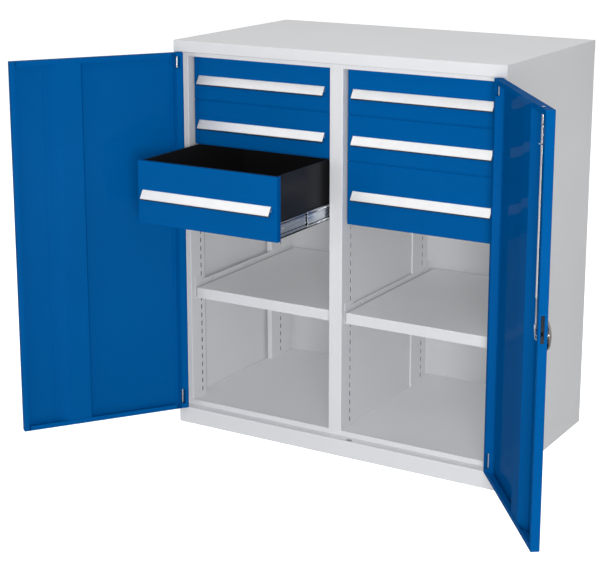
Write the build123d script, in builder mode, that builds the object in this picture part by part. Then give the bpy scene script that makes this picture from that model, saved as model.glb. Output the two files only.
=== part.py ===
from build123d import *
from math import acos, cos, hypot, radians, sin, tan
import os

os.makedirs("parts", exist_ok=True)

# Two-door storage cabinet with six drawers and two shelves, in millimetres.
# Origin on the floor, under the middle of the cabinet. Front is -Y, up is +Z.

# Overall size
WIDTH = 1000.0
DEPTH = 600.0
HEIGHT = 1115.0

# Body sheet metal
BODY_SHEET = 1.5
BEND = 1.0                 # inner bend radius of the body sheets
FASCIA_HEIGHT = 32.0
PLINTH_HEIGHT = 48.0
REBATE = 32.0              # depth of the recess that takes the doors
SIDE_STRIP = 9.5           # front strip of the side panel beside the door
STRIP_BEND = 2.0           # rounder where the open door swings past it
STOP_LIP = 15.0            # downturned lip behind the upper edge of the doors
FLOOR_TOP = 60.0
FLOOR_LIP_PROUD = 2.0
REAR_FLANGE = 20.0
TOP_FLANGE = 20.0
PLINTH_FOOT = 25.0
BACK_INSET = 2.0           # back panel clear of the bends of the side panels

# Uprights and partition
BAY_INSET = 25.0           # inner face of the side uprights from the outer side
PARTITION = 40.0
FRONT_POST_DEPTH = 71.0
REAR_POST_BACK = 16.0      # rear post before the cabinet back
REAR_POST_DEPTH = 119.0
POST_LIP = 15.0
PARTITION_LIP = 12.0
PART_REAR_BACK = 45.0
PART_REAR_DEPTH = 100.0
CORE_INSET = 4.0           # partition skin set back from the faces of its posts
SLOT_PITCH = 25.0
SLOT_START = 80.0          # middle of the lowest slot
SLOT_WIDTH = 6.0
SLOT_HEIGHT = 14.0
SLOT_TOP_MARGIN = 40.0
FRONT_SLOTS = 51.0         # slot column behind the rebate
REAR_SLOTS = 80.0          # slot column before the cabinet back

# Base frame under the floor
FRAME_RAIL = 27.0
FRAME_HAT = 15.0
FRAME_REAR = 37.0

# Shelves
SHELF_TOP = 398.0
SHELF_FASCIA = 30.0
SHELF_SHEET = 1.2
SHELF_FRONT = 15.0         # behind the rebate
SHELF_BACK = 10.0          # before the cabinet back
SHELF_RETURN = 14.0
SHELF_BEND = 2.0
RAIL_SHEET = 1.5
RAIL_STAND = 14.0          # rail above the shelf
RAIL_LEG = 19.0
RAIL_FRONT = 18.0          # behind the rebate
RAIL_REAR = 44.0           # past the rear slots
CLIP_LENGTH = 34.0
CLIP_HEIGHT = 13.0
TAB_WIDTH = 4.0
TAB_HEIGHT = 10.0
TAB_REACH = 7.0
TAB_ROOT = 1.0
PEEP = 10.0                # pierced tab in the shelf rail
PEEP_PLACE = 82.0
FRONT_NEAR = 6.3           # drawer fronts and shelves to the partition
FRONT_FAR = 9.7            # and to the side upright

# Drawers
FRONT_LAP = 0.5            # upper fronts over the lower edge of the stop lip
LOW_FRONT = 122.0
TALL_FRONT = 172.0
FRONT_GAP = 3.0
FRONT_SET = 16.0           # drawer front behind the rebate
FRONT_SHEET = 1.2
FRONT_PAN = 18.0
FRONT_TOP_RETURN = 8.0
FRONT_RIM = 14.0           # flanges behind the front, which carry the tray
FRONT_BEND = 2.0
TRAY_SHEET = 1.2
TRAY_CLEAR = 13.0          # room for the slide at each side
TRAY_HEM = 8.0
TRAY_RAISE = 4.0
TRAY_DROP = 1.0
TRAY_SHORT = 7.0           # tray shorter than its slides at the back
BACK_WALL_DROP = 14.0
RIVET = 5.0
RIVET_HEAD = 1.2
RIVET_FIRST = 20.0
RIVET_SECOND = 34.0
RIVET_RISE = 82.0
OPEN_TRAVEL = 272.0        # how far the lowest left drawer stands open

# Drawer handles
HANDLE_LENGTH = 405.0
HANDLE_DROP_LOW = 54.0     # handle top below the top of a low front
HANDLE_DROP_TALL = 78.5
HANDLE_HEIGHT = 23.0
HANDLE_REACH = 15.0
HANDLE_SHEET = 2.0
HANDLE_LIP = 3.5
HANDLE_FLANGE = 15.0
HANDLE_ROUND = 0.8
HANDLE_THROAT = 5.0

# Drawer slides
SLIDE_LENGTH = 500.0
SLIDE_BEHIND = 1.0         # behind the pan of the drawer front
SLIDE_RISE = 30.0          # slide axis above the lower edge of the front
SLIDE_SHEET = 1.4
SLIDE_RUN = 0.4            # clearance between the members
OUTER_HALF = 22.7
OUTER_REACH = 9.6
MIDDLE_WEB = 5.4           # between the outer and the middle web
MIDDLE_REACH = 11.2
INNER_REACH = 8.8
SCREW_HEAD = 7.0
SCREW_RAISE = 1.6
SCREW_PLACE = 22.0
SLIDE_BEND = 0.8

# Doors
DOOR_GAP = 1.0             # doors to fascia and plinth
DOOR_MEET = 8.0            # gap where the doors meet
DOOR_SIDE = 1.5            # door edge to the side strip
DOOR_THICK = 22.0
DOOR_SHEET = 1.2
DOOR_LIP = 12.0
DOOR_NOTCH = 6.0
DOOR_BEND = 2.8
BOX_LIP = 20.0
BOX_FOOT = 27.0
BOX_FOOT_END = 33.0
PIVOT_IN = 5.5             # hinge axis from the hinge edge
PIVOT_BACK = 3.9           # hinge axis behind the outer face
PIN = 4.0
PIN_FIT = 0.1
PIN_SEAT = 0.05
PIN_PROUD = 0.8
BRACKET = 3.0              # thickness of the plate that carries the pin
BRACKET_WIDTH = 14.0
BRACKET_DEPTH = 16.8
BRACKET_ROD = 6.5
BRACKET_ROD_IN = 15.6      # rod from the hinge edge
BRACKET_ROD_BACK = 11.0    # rod behind the outer face
BRACKET_ROD_HIGH = 48.0    # length of the upper rod
BRACKET_ROD_LOW = 62.0     # length of the lower rod
NOTCH_NEAR = 10.5          # opening in the box that shows the rod, from the hinge edge
NOTCH_FAR = 24.0
NOTCH_DEPTH = 9.0
NOTCH_HIGH = 32.0
NOTCH_HIGH_END = 10.0
NOTCH_LOW = 43.0
NOTCH_LOW_END = 15.0
LEFT_OPEN = 125.2          # degrees that the doors stand open
RIGHT_OPEN = 127.5

# Door stiffener, measured from the free edge
STIFF_FOOT = 10.0
STIFF_START = 102.0
STIFF_RISE = 130.0
STIFF_FALL = 194.0
STIFF_END = 200.0
STIFF_SHEET = 1.0
STIFF_GAP = 0.3

# Lock, measured from the free edge of the right door
KNOB_HEIGHT = 565.0
KNOB_IN = 31.0
KNOB = 74.0
KNOB_DOME = 12.5
KNOB_RIM = 5.0
ROSE = 62.0
ROSE_THICK = 1.5
KNOB_GAP = 0.3
KNOB_ROUND = 2.0
SPINDLE = 10.0
SPINDLE_FIT = 0.1
CYLINDER = 16.0
CYLINDER_FIT = 0.1
CYLINDER_DEPTH = 9.0
KEYWAY = 7.0
KEYWAY_WIDTH = 2.0
KEYWAY_DEPTH = 4.0
CYLINDER_PROUD = 0.5
SPINDLE_HEAD = 1.5
CAM_BACK = 9.2
CAM_SHEET = 3.0
CAM_WIDTH = 13.0
TONGUE = 52.0
CRANK = 14.0
CRANK_PIN = 5.0
CRANK_EYE = 9.6
CAM_HUB = 18.0
PIN_END = 0.8
CRANK_TURN = 90.0
LINK_SHEET = 2.0
LINK_WALL = 3.0
LINK_RIVET = 5.0
YOKE_SLACK = 0.8
ROD_IN = 54.0
ROD = 8.0
ROD_BACK = 13.0
ROD_SUNK = 0.3
ROD_HOLE_FIT = 1.0
PADDLE_SHEET = 2.0
ROD_FIT = 0.15
PADDLE_RISE = 3.0          # lower end of the rod above the knob
PADDLE_LENGTH = 89.0
PADDLE_WIDTH = 12.0
LINK_RISE = 11.0           # rivet of the link above the knob
LOCK_SLOT_BELOW = 13.0     # slot in the door edge, below and above the knob
LOCK_SLOT_ABOVE = 53.0
LOCK_SLOT_WIDTH = 9.0
LOCK_SLOT_BACK = 8.0
GUIDE_FROM_TOP = 28.0
GUIDE_LENGTH = 68.0
GUIDE_WIDTH = 18.0
GUIDE_SHEET = 2.0
GUIDE_EAR = 12.0
GUIDE_SCREW = 4.0
GUIDE_SCREW_HEAD = 6.0
STRIKE_LENGTH = 16.0
STRIKE_WIDTH = 15.0
PLATE_WIDTH = 44.0
PLATE_HEIGHT = 96.0
PLATE_SHEET = 2.0

# Derived positions
FRONT = -DEPTH / 2
SIDE = WIDTH / 2
REBATE_Y = FRONT + REBATE
TOP_UNDER = HEIGHT - BODY_SHEET
FASCIA_LOW = HEIGHT - FASCIA_HEIGHT
STRIP_X = SIDE - SIDE_STRIP
BACK_OUT = DEPTH / 2 - BODY_SHEET
BACK_IN = BACK_OUT - BODY_SHEET
FLOOR_UNDER = FLOOR_TOP - BODY_SHEET
POST_TOP = FASCIA_LOW - STOP_LIP
FRONT_SLOT_Y = REBATE_Y + FRONT_SLOTS
REAR_SLOT_Y = DEPTH / 2 - REAR_SLOTS
REAR_POST_Y1 = DEPTH / 2 - REAR_POST_BACK
REAR_POST_Y0 = REAR_POST_Y1 - REAR_POST_DEPTH
BAY_NEAR = PARTITION / 2
BAY_WALL = SIDE - BAY_INSET
FRONT_X0 = BAY_NEAR + FRONT_NEAR
FRONT_X1 = BAY_WALL - FRONT_FAR
SPACER = FRONT_FAR - FRONT_NEAR
SLIDE_WALL = BAY_WALL - SPACER

DOOR_LOW = PLINTH_HEIGHT + DOOR_GAP
DOOR_HIGH = FASCIA_LOW - DOOR_GAP
DOOR_FREE = DOOR_MEET / 2
DOOR_EDGE = STRIP_X - DOOR_SIDE
PIVOT_X = DOOR_EDGE - PIVOT_IN
PIVOT_Y = FRONT + PIVOT_BACK
ROD_X = DOOR_FREE + ROD_IN
KNOB_X = DOOR_FREE + KNOB_IN


def block(x0, x1, y0, y1, z0, z1, mode=Mode.ADD):
    """Block between two corners, added to the open part or cut from it."""
    with Locations(((x0 + x1) / 2, (y0 + y1) / 2, (z0 + z1) / 2)):
        Box(abs(x1 - x0), abs(y1 - y0), abs(z1 - z0), mode=mode)


def outline(corners):
    """Closed line through corners (u, v, radius), each rounded by its own radius."""
    ends = []
    count = len(corners)
    for i in range(count):
        u, v, r = corners[i]
        pu, pv = corners[i - 1][0] - u, corners[i - 1][1] - v
        nu, nv = corners[(i + 1) % count][0] - u, corners[(i + 1) % count][1] - v
        pl, nl = hypot(pu, pv), hypot(nu, nv)
        pu, pv, nu, nv = pu / pl, pv / pl, nu / nl, nv / nl
        if r <= 0:
            ends.append(((u, v), None, (u, v)))
            continue
        half = acos(max(-1.0, min(1.0, pu * nu + pv * nv))) / 2
        run = r / tan(half)
        su, sv = pu + nu, pv + nv
        sl = hypot(su, sv)
        near = r / sin(half) - r
        ends.append((
            (u + pu * run, v + pv * run),
            (u + su / sl * near, v + sv / sl * near),
            (u + nu * run, v + nv * run),
        ))
    for i in range(count):
        start, middle, finish = ends[i]
        if middle is not None:
            ThreePointArc(start, middle, finish)
        following = ends[(i + 1) % count][0]
        if hypot(following[0] - finish[0], following[1] - finish[1]) > 1e-6:
            Line(finish, following)


def folded(path, thick, bend):
    """Corners of a sheet folded along path, its right-hand face; bend is one radius or a list."""
    count = len(path)
    bends = bend if isinstance(bend, list) else [bend] * (count - 2)
    bends = [-thick] + bends + [-thick]
    runs = []
    for i in range(count - 1):
        du, dv = path[i + 1][0] - path[i][0], path[i + 1][1] - path[i][1]
        length = hypot(du, dv)
        runs.append((du / length, dv / length))
    right, left = [], []
    for i in range(count):
        a = runs[max(i - 1, 0)]
        b = runs[min(i, count - 2)]
        na, nb = (-a[1], a[0]), (-b[1], b[0])
        share = thick / (1 + na[0] * nb[0] + na[1] * nb[1])
        turn = a[0] * b[1] - a[1] * b[0]
        inner = max(bends[i], 0)
        outer = bends[i] + thick
        right.append((path[i][0], path[i][1], outer if turn > 0 else inner))
        left.append((
            path[i][0] + (na[0] + nb[0]) * share,
            path[i][1] + (na[1] + nb[1]) * share,
            inner if turn > 0 else outer,
        ))
    return right + left[::-1]


def finish(piece, name):
    """Label a piece and write it to its own file."""
    piece.label = name
    export_step(piece, "parts/" + name + ".step")


def slots(x, y):
    """One column of slots through an upright's face at x."""
    count = int((TOP_UNDER - SLOT_TOP_MARGIN - SLOT_START) // SLOT_PITCH) + 1
    with Locations(*[(x, y, SLOT_START + i * SLOT_PITCH) for i in range(count)]):
        Box(4 * BODY_SHEET, SLOT_WIDTH, SLOT_HEIGHT, mode=Mode.SUBTRACT)


def tabs(wall, side, height):
    """Two tabs of a rail or slide, hooked into the slots nearest to a height."""
    middle = SLOT_START + round((height - SLOT_START) / SLOT_PITCH) * SLOT_PITCH
    for y in (FRONT_SLOT_Y, REAR_SLOT_Y):
        block(wall - side * TAB_REACH, wall + side * TAB_ROOT, y - TAB_WIDTH / 2, y + TAB_WIDTH / 2,
              middle - TAB_HEIGHT / 2, middle + TAB_HEIGHT / 2)


def clear_lips(x0, x1):
    """Room in front of a post for the stop lip above it and the floor lip below it."""
    block(x0, x1, REBATE_Y - 1, REBATE_Y + BODY_SHEET, POST_TOP, HEIGHT, Mode.SUBTRACT)
    block(x0, x1, REBATE_Y - 1, REBATE_Y + BODY_SHEET, FLOOR_TOP - 1,
          FLOOR_TOP + FLOOR_LIP_PROUD, Mode.SUBTRACT)


def upright_hole(x, y, z0, z1, width):
    """Round hole along Z."""
    with Locations((x, y, (z0 + z1) / 2)):
        Cylinder(width / 2, z1 - z0, mode=Mode.SUBTRACT)


def across_hole(x, y0, y1, z, width, mode=Mode.SUBTRACT):
    """Round hole or boss along Y."""
    with Locations(Location((x, (y0 + y1) / 2, z), (90, 0, 0))):
        Cylinder(width / 2, y1 - y0, mode=mode)


# Top panel: one tray with the fascia, the ledge above the doors and the stop lip behind them
with BuildPart() as top_panel:
    with BuildSketch(Plane.YZ.offset(-SIDE)):
        with BuildLine():
            outline(folded([
                (DEPTH / 2, FASCIA_LOW),
                (DEPTH / 2, HEIGHT),
                (FRONT, HEIGHT),
                (FRONT, FASCIA_LOW),
                (REBATE_Y, FASCIA_LOW),
                (REBATE_Y, POST_TOP),
            ], BODY_SHEET, BEND))
        make_face()
    extrude(amount=WIDTH)
    for side in (-1, 1):
        block(side * (SIDE - BODY_SHEET), side * (SIDE + 1), FRONT + BODY_SHEET, REBATE_Y + 2 * BODY_SHEET,
              POST_TOP - 1, FASCIA_LOW + 2 * BODY_SHEET, Mode.SUBTRACT)
        block(side * STRIP_X, side * (SIDE + 1), REBATE_Y - 2 * BODY_SHEET, REBATE_Y + 2 * BODY_SHEET,
              POST_TOP - 1, FASCIA_LOW, Mode.SUBTRACT)
        block(side * (SIDE - 2 * BODY_SHEET), side * (SIDE - BODY_SHEET), REBATE_Y, BACK_IN - BODY_SHEET,
              TOP_UNDER - TOP_FLANGE, TOP_UNDER)
        upright_hole(side * PIVOT_X, PIVOT_Y, FASCIA_LOW - 1, FASCIA_LOW + BODY_SHEET + 1, PIN + 2 * PIN_FIT)
    block(ROD_X - STRIKE_LENGTH / 2, ROD_X + STRIKE_LENGTH / 2,
          FRONT + ROD_BACK - STRIKE_WIDTH / 2, FRONT + ROD_BACK + STRIKE_WIDTH / 2,
          FASCIA_LOW - 1, FASCIA_LOW + BODY_SHEET + 1, Mode.SUBTRACT)
finish(top_panel.part, "top_panel")


# Side panels: skin with the folded front strip and the rear flange
for side, name in ((-1, "left"), (1, "right")):
    with BuildPart() as side_panel:
        with BuildSketch(Plane.YZ.offset(SIDE - BODY_SHEET)):
            with BuildLine():
                outline([
                    (FRONT + BODY_SHEET, 0, 0),
                    (DEPTH / 2 - REAR_FLANGE, 0, 0),
                    (DEPTH / 2 - REAR_FLANGE, FASCIA_LOW, 0),
                    (BACK_OUT, FASCIA_LOW, 0),
                    (BACK_OUT, TOP_UNDER, BEND),
                    (FRONT + BODY_SHEET, TOP_UNDER, BEND),
                    (FRONT + BODY_SHEET, FASCIA_LOW, 0),
                    (REBATE_Y, FASCIA_LOW, 0),
                    (REBATE_Y, PLINTH_HEIGHT, 0),
                    (FRONT + BODY_SHEET, PLINTH_HEIGHT, 0),
                ])
            make_face()
        extrude(amount=BODY_SHEET)
        with BuildSketch(Plane.XY.offset(PLINTH_HEIGHT)):
            with BuildLine():
                outline(folded([
                    (STRIP_X, REBATE_Y + BODY_SHEET),
                    (STRIP_X, FRONT),
                    (SIDE, FRONT),
                    (SIDE, REBATE_Y),
                ], BODY_SHEET, [STRIP_BEND, BEND]))
            make_face()
        extrude(amount=FASCIA_LOW - PLINTH_HEIGHT)
        with BuildSketch(Plane.XY):
            with BuildLine():
                outline(folded([
                    (SIDE, DEPTH / 2 - REAR_FLANGE),
                    (SIDE, DEPTH / 2),
                    (SIDE - REAR_FLANGE, DEPTH / 2),
                ], BODY_SHEET, BEND))
            make_face()
        extrude(amount=FASCIA_LOW)
        if side < 0:
            mirror(about=Plane.YZ, mode=Mode.REPLACE)
    finish(side_panel.part, "side_panel_" + name)


with BuildPart() as back_panel:
    block(BACK_INSET + BODY_SHEET - SIDE, SIDE - BODY_SHEET - BACK_INSET, BACK_IN, BACK_OUT,
          0, TOP_UNDER - BEND)
finish(back_panel.part, "back_panel")


# Plinth front with the ledge under the doors
with BuildPart() as plinth:
    with BuildSketch(Plane.YZ.offset(-SIDE)):
        with BuildLine():
            outline(folded([
                (REBATE_Y + BODY_SHEET, PLINTH_HEIGHT),
                (FRONT, PLINTH_HEIGHT),
                (FRONT, 0),
                (FRONT + PLINTH_FOOT, 0),
            ], BODY_SHEET, BEND))
        make_face()
    extrude(amount=WIDTH)
    for side in (-1, 1):
        block(side * (SIDE - BODY_SHEET), side * (SIDE + 1), FRONT + BODY_SHEET, REBATE_Y + 2 * BODY_SHEET,
              -1, PLINTH_HEIGHT + 1, Mode.SUBTRACT)
        upright_hole(side * PIVOT_X, PIVOT_Y, PLINTH_HEIGHT - BODY_SHEET - 1, PLINTH_HEIGHT + 1,
                     PIN + 2 * PIN_FIT)
    block(ROD_X - STRIKE_LENGTH / 2, ROD_X + STRIKE_LENGTH / 2,
          FRONT + ROD_BACK - STRIKE_WIDTH / 2, FRONT + ROD_BACK + STRIKE_WIDTH / 2,
          PLINTH_HEIGHT - BODY_SHEET - 1, PLINTH_HEIGHT + 1, Mode.SUBTRACT)
finish(plinth.part, "plinth")


# Base frame: channels along the sides and the back, and a hat section under the partition
with BuildPart() as base_frame:
    for side in (-1, 1):
        outer = side * (SIDE - BODY_SHEET)
        inner = side * (SIDE - FRAME_RAIL)
        block(outer, outer - side * BODY_SHEET, REBATE_Y + BODY_SHEET, BACK_IN, 0, FLOOR_UNDER)
        block(outer, inner, REBATE_Y + BODY_SHEET, BACK_IN, FLOOR_UNDER - BODY_SHEET, FLOOR_UNDER)
        block(outer, inner, REBATE_Y + BODY_SHEET, BACK_IN, 0, BODY_SHEET)
        block(side * BAY_NEAR, side * (BAY_NEAR - BODY_SHEET), REBATE_Y + BODY_SHEET, BACK_IN, 0, FLOOR_UNDER)
        block(side * BAY_NEAR, side * (BAY_NEAR + FRAME_HAT), REBATE_Y + BODY_SHEET, BACK_IN,
              FLOOR_UNDER - BODY_SHEET, FLOOR_UNDER)
    block(-BAY_NEAR, BAY_NEAR, REBATE_Y + BODY_SHEET, BACK_IN, 0, BODY_SHEET)
    block(BODY_SHEET - SIDE, SIDE - BODY_SHEET, BACK_IN - BODY_SHEET, BACK_IN, 0, FLOOR_UNDER)
    block(BODY_SHEET - SIDE, SIDE - BODY_SHEET, BACK_IN - FRAME_REAR, BACK_IN,
          FLOOR_UNDER - BODY_SHEET, FLOOR_UNDER)
    block(BODY_SHEET - SIDE, SIDE - BODY_SHEET, BACK_IN - FRAME_REAR, BACK_IN, 0, BODY_SHEET)
finish(base_frame.part, "base_frame")


# Floor panel with the lip that the doors close against
with BuildPart() as floor_panel:
    block(2 * BODY_SHEET - SIDE, SIDE - 2 * BODY_SHEET, REBATE_Y + BODY_SHEET, BACK_IN, FLOOR_UNDER, FLOOR_TOP)
    block(-STRIP_X, STRIP_X, REBATE_Y, REBATE_Y + BODY_SHEET, PLINTH_HEIGHT, FLOOR_TOP + FLOOR_LIP_PROUD)
finish(floor_panel.part, "floor_panel")


# Uprights: slotted channels, one at the front and one at the back of each side
for side, name in ((-1, "left"), (1, "right")):
    with BuildPart() as uprights:
        with BuildSketch(Plane.XY.offset(FLOOR_TOP)):
            with BuildLine():
                outline(folded([
                    (BAY_WALL + POST_LIP, REBATE_Y + FRONT_POST_DEPTH),
                    (BAY_WALL, REBATE_Y + FRONT_POST_DEPTH),
                    (BAY_WALL, REBATE_Y),
                    (STRIP_X, REBATE_Y),
                ], BODY_SHEET, BEND))
            make_face()
            with BuildLine():
                outline(folded([
                    (BAY_WALL + POST_LIP, REAR_POST_Y1),
                    (BAY_WALL, REAR_POST_Y1),
                    (BAY_WALL, REAR_POST_Y0),
                    (BAY_WALL + POST_LIP, REAR_POST_Y0),
                ], BODY_SHEET, BEND))
            make_face()
        extrude(amount=TOP_UNDER - FLOOR_TOP)
        clear_lips(BAY_WALL - 1, STRIP_X + 1)
        slots(BAY_WALL, FRONT_SLOT_Y)
        slots(BAY_WALL, REAR_SLOT_Y)
        if side < 0:
            mirror(about=Plane.YZ, mode=Mode.REPLACE)
    finish(uprights.part, "uprights_" + name)


# Posts of the partition, slotted on both faces
with BuildPart() as partition_posts:
    with BuildSketch(Plane.XY.offset(FLOOR_TOP)):
        lip = BAY_NEAR - PARTITION_LIP
        near = REBATE_Y + FRONT_POST_DEPTH
        with BuildLine():
            outline(folded([
                (-lip, near),
                (-BAY_NEAR, near),
                (-BAY_NEAR, REBATE_Y),
                (BAY_NEAR, REBATE_Y),
                (BAY_NEAR, near),
                (lip, near),
            ], BODY_SHEET, BEND))
        make_face()
        end = DEPTH / 2 - PART_REAR_BACK
        far = end - PART_REAR_DEPTH
        with BuildLine():
            outline(folded([
                (lip, far),
                (BAY_NEAR, far),
                (BAY_NEAR, end),
                (-BAY_NEAR, end),
                (-BAY_NEAR, far),
                (-lip, far),
            ], BODY_SHEET, BEND))
        make_face()
    extrude(amount=TOP_UNDER - FLOOR_TOP)
    clear_lips(-BAY_NEAR - 1, BAY_NEAR + 1)
    for side in (-1, 1):
        slots(side * BAY_NEAR, FRONT_SLOT_Y)
        slots(side * BAY_NEAR, REAR_SLOT_Y)
finish(partition_posts.part, "partition_posts")


# Skin of the partition: a folded tube between its posts
with BuildPart() as partition_skin:
    face = BAY_NEAR - CORE_INSET
    block(-face, face, near, far, FLOOR_TOP, TOP_UNDER)
    block(BODY_SHEET - face, face - BODY_SHEET, near + BODY_SHEET, far - BODY_SHEET,
          FLOOR_TOP - 1, TOP_UNDER + 1, Mode.SUBTRACT)
finish(partition_skin.part, "partition_skin")


# Shelves
SHELF_Y0 = REBATE_Y + SHELF_FRONT
SHELF_Y1 = DEPTH / 2 - SHELF_BACK
SHELF_LOW = SHELF_TOP - SHELF_FASCIA
for side, name in ((-1, "left"), (1, "right")):
    x0, x1 = sorted((side * FRONT_X0, side * FRONT_X1))
    with BuildPart() as shelf:
        block(x0, x1, SHELF_Y0, SHELF_Y1, SHELF_LOW, SHELF_TOP)
        fillet(shelf.faces().sort_by(Axis.Z)[-1].edges(), SHELF_BEND)
        block(x0 + SHELF_SHEET, x1 - SHELF_SHEET, SHELF_Y0 + SHELF_SHEET, SHELF_Y1 - SHELF_SHEET,
              SHELF_LOW - 1, SHELF_TOP - SHELF_SHEET, Mode.SUBTRACT)
        block(x0 + SHELF_SHEET, x1 - SHELF_SHEET, SHELF_Y0 + SHELF_SHEET, SHELF_Y0 + SHELF_RETURN,
              SHELF_LOW, SHELF_LOW + SHELF_SHEET)
    finish(shelf.part, "shelf_" + name)


# Shelf rails: angles that stand beside each shelf, clipped into the slots at both ends
RAIL_Y0 = REBATE_Y + RAIL_FRONT
RAIL_Y1 = REAR_SLOT_Y + RAIL_REAR
with BuildPart() as shelf_rails:
    for wall, side in ((-BAY_WALL, 1), (-BAY_NEAR, -1), (BAY_NEAR, 1), (BAY_WALL, -1)):
        low = SHELF_LOW - RAIL_SHEET
        high = SHELF_TOP + RAIL_STAND
        skin = wall + side * RAIL_SHEET
        block(wall, skin, RAIL_Y0, RAIL_Y1, low, high)
        block(skin, wall + side * RAIL_LEG, RAIL_Y0, RAIL_Y1, low, SHELF_LOW)
        block(wall, skin, RAIL_Y0, RAIL_Y0 + CLIP_LENGTH, high, high + CLIP_HEIGHT)
        block(wall, skin, RAIL_Y1 - CLIP_LENGTH, RAIL_Y1, high, high + CLIP_HEIGHT)
        peep = RAIL_Y0 + PEEP_PLACE
        block(wall - side, skin + side, peep, peep + PEEP, high - PEEP, high - PEEP / 2, Mode.SUBTRACT)
        block(skin, skin + side * RAIL_SHEET * 2, peep, peep + PEEP, high - PEEP / 2,
              high - PEEP / 2 + RAIL_SHEET)
        tabs(wall, side, SHELF_TOP)
        tabs(wall, side, SHELF_TOP - SLOT_PITCH)
finish(shelf_rails.part, "shelf_rails")


# Drawers, numbered from the top in each bay: lower edge of the front, height, handle drop
DRAWERS = []
edge = POST_TOP + FRONT_LAP
for height, drop in (
    (LOW_FRONT, HANDLE_DROP_LOW),
    (LOW_FRONT, HANDLE_DROP_LOW),
    (TALL_FRONT, HANDLE_DROP_TALL),
):
    DRAWERS.append((edge - height, height, drop))
    edge -= height + FRONT_GAP

SLIDE_Y0 = REBATE_Y + FRONT_SET + FRONT_PAN + SLIDE_BEHIND
SLIDE_Y1 = SLIDE_Y0 + SLIDE_LENGTH
MIDDLE_HALF = OUTER_HALF - SLIDE_SHEET - SLIDE_RUN
INNER_HALF = MIDDLE_HALF - SLIDE_SHEET - SLIDE_RUN


def channel(wall, side, height, web, reach, half):
    """Section of a slide member: a web at a distance from the bay wall, with two flanges."""
    turn = 1 if reach > web else -1
    path = [(reach, turn * half), (web, turn * half), (web, -turn * half), (reach, -turn * half)]
    if side < 0:
        path = [(-u, v) for u, v in path[::-1]]
    return folded([(wall + u, height + v) for u, v in path], SLIDE_SHEET, SLIDE_BEND)


# Cabinet members of the slides, hooked into the slots of the uprights; pads space them at the sides
PAD_HALF = OUTER_HALF - SLIDE_SHEET - SLIDE_BEND
with BuildPart() as slide_cabinet_members:
    for low, height, drop in DRAWERS:
        axis_z = low + SLIDE_RISE
        for wall, side, base in (
            (-BAY_WALL, 1, -SLIDE_WALL),
            (-BAY_NEAR, -1, -BAY_NEAR),
            (BAY_NEAR, 1, BAY_NEAR),
            (BAY_WALL, -1, SLIDE_WALL),
        ):
            with BuildSketch(Plane.XZ.offset(-SLIDE_Y1)):
                with BuildLine():
                    outline(channel(base, side, axis_z, 0, OUTER_REACH, OUTER_HALF))
                make_face()
            extrude(amount=SLIDE_LENGTH)
            if base != wall:
                block(wall, base, SLIDE_Y0, REBATE_Y + FRONT_POST_DEPTH, axis_z - PAD_HALF, axis_z + PAD_HALF)
                block(wall, base, REAR_POST_Y0, SLIDE_Y1, axis_z - PAD_HALF, axis_z + PAD_HALF)
            tabs(wall, side, axis_z)
finish(slide_cabinet_members.part, "slide_cabinet_members")


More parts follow.
